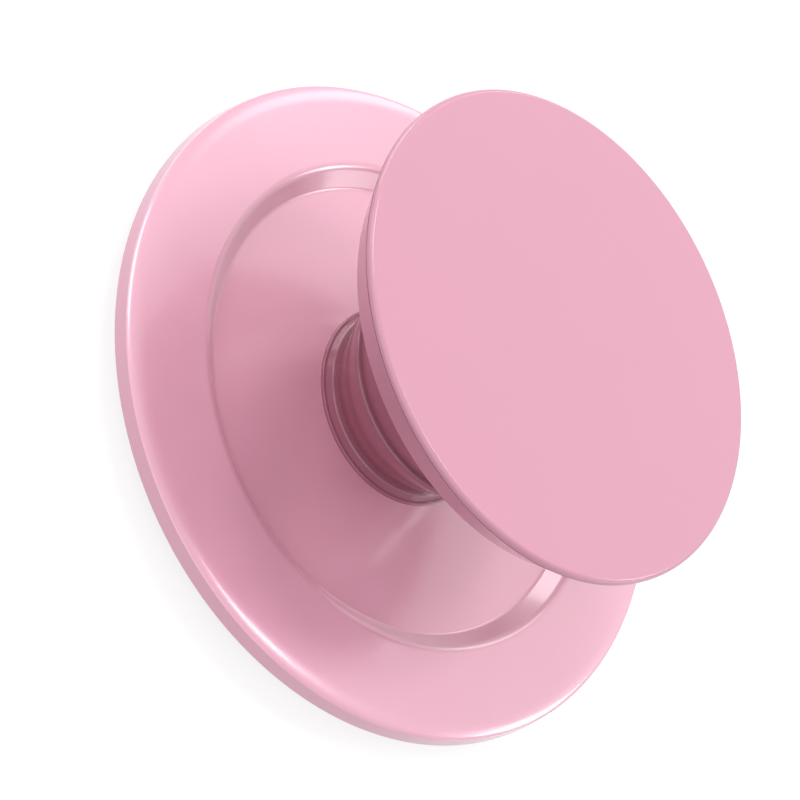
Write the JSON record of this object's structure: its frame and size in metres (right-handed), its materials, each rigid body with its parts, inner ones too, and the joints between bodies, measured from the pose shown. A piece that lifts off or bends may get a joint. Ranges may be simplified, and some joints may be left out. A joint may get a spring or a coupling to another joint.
{
  "type": "collapsible phone grip",
  "caption": "Round phone grip with a magnet-ring base, a soft stepped accordion and a flat round top disc that presses flat into the base.",
  "frame": {"origin": "centre of the back face, which lies against the phone", "axes": "+Z along the grip's axis, from the phone towards the flat face of the top disc"},
  "size_m": [0.0568, 0.0568, 0.0223],
  "materials": {
    "base_pink": "satin pearl pink",
    "top_pink": "satin pink",
    "accordion_soft": "soft satin, dusky pink",
    "inner_plastic": "matte pink",
    "pad_rubber": "soft matte pink",
    "film": "clear adhesive film",
    "steel": "plain steel",
    "magnet_plating": "nickel plating"
  },
  "bodies": {
    "base": {"base_shell": "base_pink", "back_plate": "inner_plastic", "soft_pad": "pad_rubber", "pad_adhesive": "film", "yoke_ring": "steel", "magnet_01": "magnet_plating", "magnet_02": "magnet_plating", "magnet_03": "magnet_plating", "magnet_04": "magnet_plating", "magnet_05": "magnet_plating", "magnet_06": "magnet_plating", "magnet_07": "magnet_plating", "magnet_08": "magnet_plating", "magnet_09": "magnet_plating", "magnet_10": "magnet_plating", "magnet_11": "magnet_plating", "magnet_12": "magnet_plating", "magnet_13": "magnet_plating", "magnet_14": "magnet_plating", "magnet_15": "magnet_plating", "magnet_16": "magnet_plating", "accordion": "accordion_soft"},
    "collar": {"lock_collar": "inner_plastic"},
    "top": {"top_carrier": "top_pink", "face_adhesive": "film", "face_plate": "top_pink"}
  },
  "joints": [
    {"name": "collapse", "type": "slide", "parent": "base", "child": "collar", "axis": [0, 0, 1], "range_m": [-0.016, 0], "deforming": ["accordion"]},
    {"name": "top_twist", "type": "hinge", "parent": "collar", "child": "top", "pos_m": [0, 0, 0.02], "axis": [0, 0, 1], "range_deg": [0, 90]}
  ]
}
